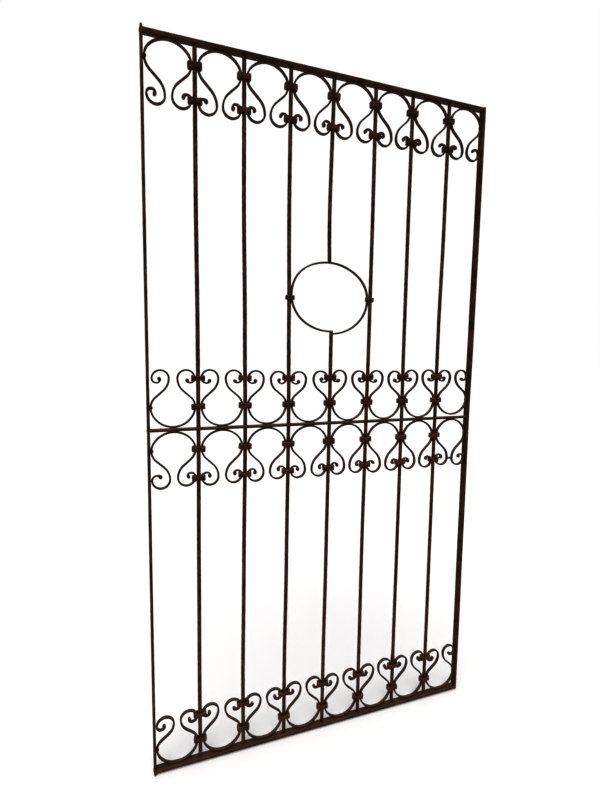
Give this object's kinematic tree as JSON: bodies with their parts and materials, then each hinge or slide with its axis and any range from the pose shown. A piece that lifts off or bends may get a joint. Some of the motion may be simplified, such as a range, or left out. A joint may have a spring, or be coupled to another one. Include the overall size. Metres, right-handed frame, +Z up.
{
  "type": "garden gate",
  "caption": "Wrought iron gate leaf with round upright bars, rows of omega scrolls held by forged collars, and an oval ring in the middle bar.",
  "frame": {"origin": "middle of the hinge stile's foot, on the stile's centre line", "axes": "+X along the rails from the hinge stile to the latch stile, +Y from the front to the back, +Z up the stile"},
  "size_m": [1.1, 0.025, 2.089],
  "materials": {
    "frame_flat_bar": "hot-rolled flat bar, dark brown mill scale with fine rust",
    "round_bar": "round wrought bar, lightly hammered, rusted dark brown",
    "bent_strip": "flat strip bent cold, brown-black oxide worn greyer on upper faces",
    "forged_collars": "forged collars and rivets, hammered, rust brown"
  },
  "bodies": {
    "root": {"hinge_stile": "frame_flat_bar", "latch_stile": "frame_flat_bar", "top_rail": "frame_flat_bar", "mid_rail": "frame_flat_bar", "bottom_rail": "frame_flat_bar", "bar_1": "round_bar", "bar_2": "round_bar", "bar_3": "round_bar", "bar_4_upper": "round_bar", "bar_4_lower": "round_bar", "bar_5": "round_bar", "bar_6": "round_bar", "bar_7": "round_bar", "ring": "bent_strip", "top_scroll_1": "bent_strip", "top_scroll_2": "bent_strip", "top_scroll_3": "bent_strip", "top_scroll_4": "bent_strip", "top_scroll_5": "bent_strip", "top_scroll_6": "bent_strip", "top_scroll_7": "bent_strip", "top_scroll_8": "bent_strip", "mid_upper_scroll_1": "bent_strip", "mid_upper_scroll_2": "bent_strip", "mid_upper_scroll_3": "bent_strip", "mid_upper_scroll_4": "bent_strip", "mid_upper_scroll_5": "bent_strip", "mid_upper_scroll_6": "bent_strip", "mid_upper_scroll_7": "bent_strip", "mid_upper_scroll_8": "bent_strip", "mid_lower_scroll_1": "bent_strip", "mid_lower_scroll_2": "bent_strip", "mid_lower_scroll_3": "bent_strip", "mid_lower_scroll_4": "bent_strip", "mid_lower_scroll_5": "bent_strip", "mid_lower_scroll_6": "bent_strip", "mid_lower_scroll_7": "bent_strip", "mid_lower_scroll_8": "bent_strip", "bottom_scroll_1": "bent_strip", "bottom_scroll_2": "bent_strip", "bottom_scroll_3": "bent_strip", "bottom_scroll_4": "bent_strip", "bottom_scroll_5": "bent_strip", "bottom_scroll_6": "bent_strip", "bottom_scroll_7": "bent_strip", "bottom_scroll_8": "bent_strip", "top_neck_collars": "forged_collars", "top_curl_collars": "forged_collars", "mid_upper_neck_collars": "forged_collars", "mid_upper_curl_collars": "forged_collars", "mid_lower_neck_collars": "forged_collars", "mid_lower_curl_collars": "forged_collars", "bottom_neck_collars": "forged_collars", "bottom_curl_collars": "forged_collars", "ring_collars": "forged_collars", "stile_rivets": "forged_collars", "scroll_tie": "forged_collars"}
  },
  "joints": []
}
